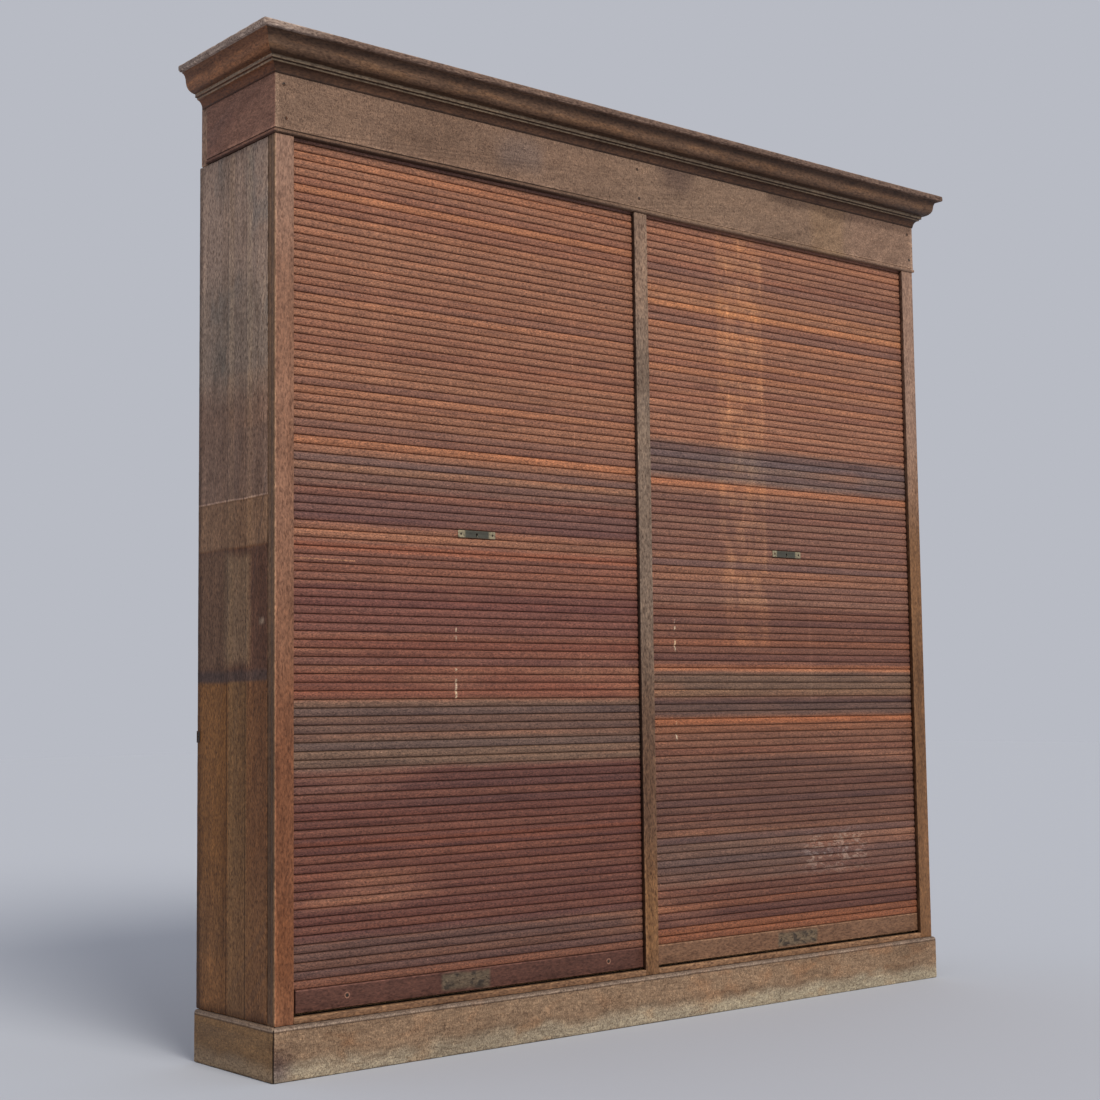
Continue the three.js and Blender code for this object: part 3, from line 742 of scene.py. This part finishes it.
# ---- Head box ----
# The box that hides the wound-up shutters: posts at the rear corners, a rear board and a short partition
# that carries the inner roller brackets. Softwood, apart from the posts, whose edges show.
post_finish = grained(oak("Head_post_oak", (150, 118, 98)), "z")
for hand in ("left", "right"):
    fitted(f"head_post_{hand}", post_finish)
fitted("head_back", level_softwood)
fitted("head_partition", upright_softwood)

# ---- Frieze ----
# A wide plain board on the front and both sides of the head box, mitred at the corners, with a half
# round and a quirk worked along its lower edge. Nailed to the posts and to the muntin.


def frieze_oak(name, body):
    """Dry oak, with painted shade in the quirk above the bead, a darker bead with a painted shadow under
    it, and a rubbed edge over them.
    """
    wood = oak(name, body, 0.66)
    # Painted shade in the quirk above the bead.
    wood.shade_at((0.4, 0.38, 0.38), z=(2.1915, 2.1965), soft=0.0015)
    wood.shade_at((0.74, 0.7, 0.68), z=(2.1, 2.1915), soft=0.0015)
    # Painted shadow on the bead's underside.
    wood.shade_at((0.36, 0.33, 0.32), z=(2.1, 2.1858), soft=0.0012)
    wood.shade_at((1.2, 1.22, 1.24), z=(2.197, 2.202), soft=0.002, ragged=0.001)
    return wood


front = frieze_oak("Frieze_front_oak", (116, 92, 76))
front.lay_at((121, 98, 81), x=(-0.1, 1.3), soft=0.3, ragged=0.1)
front.lay_at((130, 104, 87), x=(0.85, 1.3), soft=0.05, ragged=0.05)
front.shade_at((1.14, 1.12, 1.02), x=(0.69, 0.83), z=(2.15, 2.5), soft=0.02, ragged=0.03)
front.shade_at((0.6, 0.58, 0.62), x=(0.06, 0.2), z=(2.27, 2.5), soft=0.04, ragged=0.05)
front.shade_at((0.62, 0.6, 0.6), x=(0.5, 1.2), z=(2.302, 2.5), soft=0.008, ragged=0.02)
front.shade_at((0.85, 0.92, 1.05), x=(-0.5, -0.36), z=(2.23, 2.3), soft=0.03, ragged=0.03)
for corner in (-1, 1):
    edge = sorted((corner * 1.149, corner * 1.2))
    front.shade_at((1.35, 1.4, 1.42), x=edge, soft=0.003, ragged=0.004)
frieze_finish = grained(front, "x", 0.6, 0.5)
side = frieze_oak("Frieze_side_oak", (134, 97, 81))
side.shade(side.spots(0.5, 0.72, (4, 4, 9), 4.0), (0.78, 0.72, 0.76))
side.shade_at((1.35, 1.4, 1.42), y=(-0.2, -0.1445), soft=0.002, ragged=0.002)
frieze_side_finish = grained(side, "y", 0.75, 0.35)
fitted("frieze_front", frieze_finish, 0.0015, 40.0, 0.0015)
for hand in ("left", "right"):
    fitted(f"frieze_side_{hand}", frieze_side_finish, 0.0015, 40.0, 0.0015)

# Two nails at each end and two over the muntin, in the flat face behind the bead.
bead_stands_out = 0.003
upper_z, lower_z = 2.302, 2.221
face_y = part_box("frieze_front")[0].y + bead_stands_out
front_places = []
for x in (-1.135, -0.012, 1.135):
    front_places += [(x, face_y, upper_z), (x + 0.006, face_y, lower_z)]
front_nail = nail_head("Pattern_front_nail", 0.0045, 0.0006, -1)
driven("frieze_nails", front_nail, 8, iron_finish, front_places, "case")

# ---- Cornice ----
# A moulding in three runs, mitred at the front corners: a cove, two fillets and a large cyma, stuck
# from dark oak, with painted shade in its hollows and painted golden highlights on the cyma. The
# edges of the fillets are rubbed pale.


def cornice_oak(name, body, pale):
    """Dark oak with pale fillets and a dark joint with the frieze, painted shade in the cove, under the
    upper fillet, under the cyma's foot and under the cap, and painted golden highlights on the cyma.
    """
    wood = oak(name, body, 0.5)
    # Painted shade in the cove, under the fillets.
    wood.shade_at((0.62, 0.52, 0.46), z=(2.3, 2.3475), soft=0.001)
    wood.shade_at((0.4, 0.38, 0.36), z=(2.3, 2.3295), soft=0.001, ragged=0.001)
    for bottom, top in ((2.3482, 2.3518), (2.3538, 2.3608)):
        wood.lay_at(pale, 0.9, z=(bottom, top), soft=0.0008, ragged=0.001)
    # Painted shadow under the upper fillet.
    wood.shade_at((0.35, 0.33, 0.32), z=(2.3518, 2.3535), soft=0.0003)
    # Painted shade under the foot of the cyma, over the upper fillet.
    wood.shade_at((0.5, 0.47, 0.45), z=(2.361, 2.3655), soft=0.0012, ragged=0.001)
    # Painted shade on the upper part of the cyma, under the cap.
    wood.shade_at((0.62, 0.58, 0.56), z=(2.389, 2.41), soft=0.01, ragged=0.008)
    # Painted golden highlights in patches on the cyma.
    gold_highlight = wood.spots(0.46, 0.62, (10, 10, 60), 4.0, 0.5, 6.0)
    cyma = wood.patch(z=(2.366, 2.392), soft=0.006)
    wood.shade(wood.both(gold_highlight, cyma), (1.3, 1.24, 1.1))
    return wood


cornice_finish = grained(cornice_oak("Cornice_front_oak", (92, 69, 53), (114, 98, 80)), "x", 0.85)
side = cornice_oak("Cornice_side_oak", (134, 90, 61), (136, 117, 98))
cornice_side_finish = grained(side, "y", 0.85)
fitted("cornice_front", cornice_finish, 0.0008, 40.0)
for hand in ("left", "right"):
    fitted(f"cornice_side_{hand}", cornice_side_finish, 0.0008, 40.0)

# ---- Cap board ----
# One flat board laid over the head box and nailed down. Its square edge is the top member of the
# cornice, grey and bruised; its upper face is bare and dusty.
cap = oak("Cap_board_oak", (105, 84, 72), 0.7)
cap.lay_at((128, 118, 106), 0.8, z=(2.4235, 2.5), soft=0.0005)
cap.lay_at((154, 135, 123), 0.8, x=(-1.4, -1.08), soft=0.09, ragged=0.06)
chips = cap.spots(0.6, 0.7, (70, 70, 160), 4.0, 0.5)
cap.shade(chips, (0.62, 0.58, 0.55))
cap.emboss(chips, -0.0006)
fitted("cap_board", grained(cap, "x"), 0.0035, knocks=0.0035)

# ---- Rollers and their brackets ----
# A turned softwood roller for each shutter, bored at both ends to run on the stub pins of two iron
# plates, which are screwed to the head box's sides and partition.
roller_finish = grained(softwood("Roller_softwood"), "x")
for hand in ("left", "right"):
    fitted(f"roller_{hand}", roller_finish, 0.001, 60.0)
    for bracket in ("outer", "inner"):
        fitted(f"roller_bracket_{bracket}_{hand}", iron_finish, 0.0004, 60.0)

# ---- Shutter canvas ----
# Coarse linen in an even weave, glued flat behind the slats and stained by the glue. It runs on above
# them to the roller, which it is tacked to.
linen = Finish("Glued_linen", (168, 152, 120), 0.92)
for run in "xz":
    threads = linen.cloud(along(run, 30, 1500), 1.0)
    linen.emboss(threads, 0.00005)
    linen.lay((120, 104, 78), linen.step(threads, 0.55, 0.35), 0.35)
linen.lay((112, 88, 60), linen.spots(0.5, 0.68, (6, 6, 6), 5.0, 0.6), 0.5)
linen_finish = linen.done()
for hand in ("left", "right"):
    low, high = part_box(f"canvas_{hand}")
    cloth = fitted(f"canvas_{hand}", linen_finish, 0.0)
    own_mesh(cloth)

# ---- Slats ----
# Narrow hardwood slats laid side by side, rounded on the face and square at the back. Each was stained
# on its own, so that it has its own tone, and the light has faded them in bands and patches.
slat_low, slat_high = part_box("slats_left")
slat_pitch = 0.020
slat_count = round((slat_high.z - slat_low.z) / slat_pitch)
# The section, as (depth behind the crown, height above the slat's foot), in millimetres.
slat_foot = [(9.4, 0.3), (6.0, 0.3), (4.0, 0.5), (2.4, 1.5), (1.2, 3.2)]
slat_crown = [(0.4, 6.0), (0.0, 9.5), (0.1, 12.5), (0.7, 15.2)]
slat_head = [(1.8, 17.4), (3.2, 18.9), (5.0, 19.7), (9.4, 19.7)]
slat_section = slat_foot + slat_crown + slat_head
slat_rows = row_tree("Row_of_slats")


def stained(name, body, shades):
    """The stain that a shutter's slats share, bleached and darkened at several heights."""
    wood = Finish(name, body, 0.5)
    for bottom, top, colour in shades:
        uneven = wood.spots(0.2, 0.42, (1.4, 1.0, 8.0), 3.0, 0.0, 9 * bottom)
        there = wood.patch(z=(bottom, top), soft=0.012, ragged=0.008)
        wood.lay(colour, wood.both(there, uneven), 0.97)
    return wood


def slat_grain(wood):
    """Each slat's own tone and grain, laid over the stains, and painted shade in the grooves between
    them.
    """
    own_tone = wood.own("bar_tone")
    shift = wood.own("bar_shift")
    wood.shade(wood.step(own_tone, 0.22, 0.04), (1.24, 1.13, 0.98))
    wood.shade(wood.step(own_tone, 0.45, 0.75), (0.9, 0.85, 0.88))
    wood.shade(wood.step(own_tone, 0.8, 0.97), (0.86, 0.96, 1.08))
    reaches = wood.cloud((2.2, 1.0, 40.0), 3.0, 0.4, shift)
    wood.shade(wood.step(reaches, 0.5, 0.74), (0.78, 0.78, 0.84))
    wood.shade(wood.step(reaches, 0.48, 0.26), (1.18, 1.12, 1.06))
    streaks = wood.cloud((8.0, 260.0, 260.0), 3.0, 0.3, shift)
    wood.shade(wood.step(streaks, 0.5, 0.28), (0.72, 0.7, 0.7))
    wood.shade(wood.step(streaks, 0.5, 0.74), (1.22, 1.2, 1.16))
    flecks = wood.cloud((190.0, 400.0, 400.0), 2.0, 0.8, shift)
    wood.shade(wood.step(flecks, 0.54, 0.28), (0.46, 0.43, 0.43))
    wood.shade(wood.step(flecks, 0.46, 0.74), (1.66, 1.6, 1.52))
    scuffs = wood.cloud((170.0, 170.0, 170.0), 1.0, 0.0, shift)
    wood.shade(wood.step(scuffs, 0.7, 0.8), (1.8, 1.85, 1.9))
    # Painted shade, darker deeper in the grooves between the slats.
    hollow = wood.step(wood.own("hollow"), 0.25, 0.95)
    wood.shade(hollow, (0.74, 0.68, 0.64))
    wood.dull(flecks, 0.14)
    wood.dull(hollow, 0.25)
    wood.emboss(flecks, 0.00012)
    wood.emboss(streaks, 0.00015)
    return wood.done()


# Heights from the floor and the colours that the stain has gone there, from the top down.
left_shades = [
    (1.36, 1.437, (116, 87, 74)),
    (1.275, 1.36, (103, 72, 65)),
    (1.128, 1.235, (114, 75, 62)),
    (1.01, 1.128, (105, 67, 58)),
    (0.853, 1.01, (114, 71, 57)),
    (0.77, 0.853, (104, 80, 67)),
    (0.69, 0.77, (105, 82, 68)),
    (0.30, 0.69, (97, 61, 51)),
    (0.1, 0.30, (88, 64, 57)),
]
left = stained("Slats_left_stain", (135, 93, 72), left_shades)
left.shade_at((1.3, 1.15, 1.0), z=(1.207, 1.226), soft=0.003)
left.shade_at((1.25, 1.15, 1.0), z=(0.507, 0.526), soft=0.003)
left.shade_at((1.1, 1.1, 1.08), x=(-0.885, -0.835), z=(1.6, 2.3), soft=0.03, ragged=0.02)
scratch = left.patch(x=(-0.2045, -0.2025), z=(0.86, 2.06), soft=0.001, lean=-0.0218)
broken = left.spots(0.4, 0.6, (20, 1, 20), 3.0)
left.shade(left.both(scratch, broken), (1.5, 1.55, 1.6))
for bottom, top, spacing in ((0.9, 1.04, 0.6), (0.857, 0.9, 0.35)):
    drips = left.patch(x=(-0.634, -0.629), z=(bottom, top), soft=0.002, ragged=0.006)
    spots = left.spots(spacing - 0.1, spacing, (40, 1, 40), 3.0)
    left.lay((206, 186, 158), left.both(drips, spots), 0.75)
left.lay_at((200, 146, 108), 0.5, x=(-1.11, -0.93), z=(1.1835, 1.186), soft=0.001, ragged=0.002)

right_shades = [
    (1.938, 1.99, (145, 101, 76)),
    (1.567, 1.72, (139, 96, 75)),
    (1.461, 1.56, (108, 85, 76)),
    (1.11, 1.42, (119, 85, 71)),
    (0.94, 1.11, (107, 71, 58)),
    (0.853, 0.925, (104, 81, 67)),
    (0.80, 0.853, (88, 67, 60)),
    (0.69, 0.80, (112, 76, 60)),
    (0.48, 0.69, (97, 67, 56)),
    (0.345, 0.48, (106, 76, 64)),
    (0.1, 0.345, (95, 62, 51)),
]
right = stained("Slats_right_stain", (135, 94, 74), right_shades)
for bottom, top in ((1.438, 1.457), (0.927, 0.946), (0.781, 0.8), (0.19, 0.236)):
    right.shade_at((1.3, 1.14, 0.97), z=(bottom, top), soft=0.003)
right.shade_at((1.0, 1.06, 1.1), x=(0.42, 0.95), z=(1.47, 1.53), soft=0.03, ragged=0.02)
faded = right.patch(x=(0.3, 0.485), z=(1.0, 2.3), soft=0.015, ragged=0.01)
uneven = right.spots(0.3, 0.7, (22, 1, 12), 4.0, 0.3)
right.shade(right.both(faded, uneven), (1.42, 1.44, 1.26))
for x in (0.342, 0.392, 0.478):
    stripe = right.patch(x=(x - 0.003, x + 0.003), z=(1.1, 2.3), soft=0.004, ragged=0.003)
    right.shade(right.both(stripe, uneven), (1.3, 1.34, 1.3))
right.shade_at((0.92, 1.05, 1.08), x=(0.0, 0.62), z=(0.35, 0.47), soft=0.05, ragged=0.04)
right.shade_at((1.2, 1.24, 1.24), x=(0.654, 0.664), z=(0.84, 1.1), soft=0.004, ragged=0.004)
scuffs = right.spots(0.5, 0.6, (26, 1, 60), 4.0, 1.5)
scuffed = right.patch(x=(0.62, 0.88), z=(0.35, 0.46), soft=0.03, ragged=0.03)
right.lay((170, 150, 134), right.both(scuffs, scuffed), 0.4)
for bottom, top in ((0.93, 1.09), (0.71, 0.79)):
    drips = right.patch(x=(0.112, 0.117), z=(bottom, top), soft=0.002, ragged=0.005)
    spots = right.spots(0.5, 0.6, (40, 1, 40), 3.0, 0.0, 4.0)
    right.lay((206, 186, 160), right.both(drips, spots), 0.7)

left.lay_at((118, 74, 53), 0.6, z=(0.19, 0.2165), soft=0.0005)
right.lay_at((137, 84, 54), 0.8, z=(0.19, 0.2365), soft=0.0005)
# Behind each keyhole the slat is painted black: painted shade where a bore would be.
for wood, hand in ((left, "left"), (right, "right")):
    low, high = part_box(f"lock_plate_{hand}")
    key_x, key_z = (low.x + high.x) / 2, (low.z + high.z) / 2
    keyhole_shade = wood.patch(x=(key_x - 0.006, key_x + 0.006), z=(key_z - 0.0085, key_z + 0.0055), soft=0.0003)
    wood.shade(keyhole_shade, (0.02, 0.02, 0.02))
    wood.dull(keyhole_shade, 0.5)

slat_finishes = {"left": slat_grain(left), "right": slat_grain(right)}
# How far behind the crown the painted shade in a slat's groove grows to full strength.
groove_shade_depth = 0.005
for seed, hand in ((17, "left"), (42, "right")):
    low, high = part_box(f"slats_{hand}")
    section = [(low.y + back / 1000, rise / 1000) for back, rise in slat_section]
    solid = bmesh.new()
    add_bar(solid, section, low.x, high.x, "x")
    pattern_slat = closed("Pattern_slat", solid)
    # 0 on the crown of a slat, and 1 deep in its groove, where the painted shade is darkest.
    depth = pattern_slat.data.attributes.new("hollow", "FLOAT", "POINT")
    for vertex, held in zip(pattern_slat.data.vertices, depth.data):
        held.value = min(1.0, (vertex.co.y - low.y) / groove_shade_depth)
    pattern_slat.data.shade_smooth()
    pattern_slat.data.set_sharp_from_angle(angle=math.radians(50))
    slats = grown(
        f"slats_{hand}_finished",
        slat_rows,
        {
            "Bar": pattern_slat,
            "Count": slat_count,
            "First": (0.0, 0.0, slat_low.z),
            "Pitch": (0.0, 0.0, slat_pitch),
            "Wander": (0.0006, 0.00005, 0.0),
            "Seed": seed,
            "Finish": slat_finishes[hand],
        },
    )
    bpy.data.objects.remove(pattern_slat)
    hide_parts(f"slats_{hand}")
    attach(slats, f"{hand}_shutter")
    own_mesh(slats)

# ---- Lift rails ----
# The stouter board at the foot of each shutter, which was lifted by a pull that is now lost. Its seat is
# bare and dark, with four screw holes. Two screws in cup washers hold the left rail to its canvas.


def rail_wood(name, body, seat):
    """A lift rail's oak, with the lost pull's seat between two places along X and both edges rubbed."""
    wood = oak(name, body, 0.55)
    mark = wood.patch(x=seat, z=(0.15, 0.188), soft=0.006, ragged=0.01)
    wood.lay((94, 84, 68), mark, 0.75)
    inner = wood.spots(0.48, 0.6, (30, 1, 50), 4.0, 0.8)
    wood.lay((44, 38, 34), wood.both(mark, inner), 0.8)
    wood.shade_at((1.5, 1.55, 1.6), z=(0.1, 0.1462), soft=0.0006, ragged=0.001)
    wood.shade_at((1.3, 1.35, 1.4), z=(0.193, 0.2), soft=0.0008, ragged=0.001)
    return grained(wood, "x", 0.75)


seats = {"left": (-0.681, -0.535), "right": (0.496, 0.658)}
rails = {
    "left": rail_wood("Lift_rail_left_oak", (84, 54, 45), seats["left"]),
    "right": rail_wood("Lift_rail_right_oak", (112, 82, 62), seats["right"]),
}
# The left rail's face is cut short of its stile, and only its tongue runs on into the groove.
rail_end_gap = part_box("stile_left")[1].x + 0.0125
hole_radius, hole_depth = 0.0016, 0.006
hole_shape = {"segments": 12, "radius1": hole_radius, "radius2": hole_radius, "depth": 2 * hole_depth}
for hand in ("left", "right"):
    low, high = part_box(f"lift_rail_{hand}")
    rail = fitted(f"lift_rail_{hand}", rails[hand], 0.0008)
    solid = bmesh.new()
    seat_start, seat_end = seats[hand]
    for share in (0.08, 0.36, 0.64, 0.92):
        hole_x = seat_start + share * (seat_end - seat_start)
        hole = Matrix.Translation((hole_x, low.y, (low.z + high.z) / 2 + 0.002))
        into_face = hole @ Matrix.Rotation(math.pi / 2, 4, "X")
        bmesh.ops.create_cone(solid, cap_ends=True, matrix=into_face, **hole_shape)
    if hand == "left":
        rail_end = Matrix.Translation((low.x, low.y, (low.z + high.z) / 2))
        gap = rail_end @ Matrix.Diagonal((2 * (rail_end_gap - low.x), 0.014, 0.1, 1.0))
        bmesh.ops.create_cube(solid, size=1.0, matrix=gap)
    drill = as_object("Drill", solid)
    holes = rail.modifiers.new("Holes", "BOOLEAN")
    holes.object = drill
    holes.solver = "EXACT"
    bpy.context.view_layer.update()
    graph = bpy.context.evaluated_depsgraph_get()
    drilled = bpy.data.meshes.new_from_object(rail.evaluated_get(graph), depsgraph=graph)
    rail.modifiers.clear()
    rail.data = drilled
    bpy.data.objects.remove(drill)


def slotted_head(name, radius, rise, slot):
    """A round-headed screw on the Y axis, facing the front: half a dome on each side of the slot, and the
    slot's floor between them."""
    solid = bmesh.new()
    dome = ((1.0, 0.0), (0.96, 0.55), (0.7, 1.0))
    parts = 7
    dip = math.asin(slot / 2 / radius)
    arc = [dip + (math.pi - 2 * dip) * i / parts for i in range(parts + 1)]
    for side in (1, -1):
        rows = []
        for share, out in dome:
            row = []
            for turn in arc:
                x = radius * share * math.cos(turn)
                z = max(radius * share * math.sin(turn), slot / 2)
                row.append(solid.verts.new((x * side, -rise * out, z * side)))
            rows.append(row)
        for lower, upper in zip(rows, rows[1:]):
            for i in range(parts):
                solid.faces.new((lower[i], lower[i + 1], upper[i + 1], upper[i]))
        solid.faces.new(rows[2])
        solid.faces.new([row[0] for row in rows] + [row[-1] for row in rows[::-1]])
        solid.faces.new(rows[0][::-1])
    reach = radius * 0.96
    floor_y = -rise * 0.25
    slot_floor = [(-reach, floor_y), (reach, floor_y), (reach, 0.0), (-reach, 0.0)]
    add_bar(solid, slot_floor, -slot / 2, slot / 2, "z")
    return closed(name, solid)


def cup_washer(name, inner, outer, rise):
    """A pressed ring on the Y axis, facing the front, that a screw's head sits in."""
    crest = inner + 0.3 * (outer - inner)
    lip = 0.0008
    face = [(inner, 0.2), (crest, 1.0), (outer - lip, 0.7), (outer, 0.0)]
    profile = [(radius, -rise * out) for radius, out in face] + [(inner, 0.0)]
    return turned(name, profile, sides=20, hollow=True)


washer_rust = Finish("Washer_rust", (138, 98, 80), 0.6)
flakes = washer_rust.spots(0.45, 0.65, (300, 300, 300), 4.0)
washer_rust.lay((96, 62, 50), flakes, 0.7)
washer_rust.emboss(flakes, -0.0001)
low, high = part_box("lift_rail_left")
screw_z = 0.171
screw_places = [(x, low.y, screw_z) for x in (-0.954, -0.145)]
for pattern, label, finish in (
    (slotted_head("Pattern_rail_screw", 0.0042, 0.0012, 0.0013), "lift_rail_screws", iron_finish),
    (cup_washer("Pattern_rail_washer", 0.0043, 0.0082, 0.0011), "lift_rail_washers", washer_rust.done()),
):
    driven(label, pattern, 2, finish, screw_places, "left_shutter")

# ---- Locks ----
# A brass keyhole plate let on to one slat of each shutter with two small screws, worn dark round the
# hole. Behind it an iron case holds a brass bolt, which slides into an iron keeper on the shelf.
brass = Finish("Tarnished_brass", (150, 138, 112), 0.45)
brass.shader.inputs["Metallic"].default_value = 0.35
for hand in ("left", "right"):
    low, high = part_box(f"lock_plate_{hand}")
    handled = brass.patch(x=(low.x + 0.017, high.x - 0.022), soft=0.004, ragged=0.01)
    brass.lay((66, 66, 60), handled, 0.94)
spots = brass.spots(0.5, 0.68, (200, 200, 200), 4.0, 0.3)
brass.lay((62, 60, 54), spots, 0.7)
brass.dull(spots, 0.25)
brass.emboss(spots, -0.00004)
brass.lay((186, 172, 140), brass.own("worn"), 0.45)
brass_finish = brass.done()
for hand in ("left", "right"):
    fitted(f"lock_plate_{hand}", brass_finish, 0.0003, 50.0)
    fitted(f"lock_case_{hand}", iron_finish, 0.0006)
    fitted(f"lock_bolt_{hand}", brass_finish, 0.0006)
    fitted(f"lock_keeper_{hand}", iron_finish, 0.0005, 50.0)
    low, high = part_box(f"lock_plate_{hand}")
    plate_screw = slotted_head(f"Pattern_plate_screw_{hand}", 0.0031, 0.0007, 0.0008)
    inset = 0.009
    plate_places = [(x, low.y, (low.z + high.z) / 2) for x in (low.x + inset, high.x - inset)]
    seed = 4 + len(hand)
    driven(f"lock_plate_screws_{hand}", plate_screw, seed, iron_finish, plate_places, f"{hand}_lock")

# ---- Eye plate ----
# A small iron plate with a hole in it, for a hook or a pin. It is nailed flat near the rear edge of the
# left side.
fitted("side_eye_plate", iron_finish, 0.0004, 50.0)
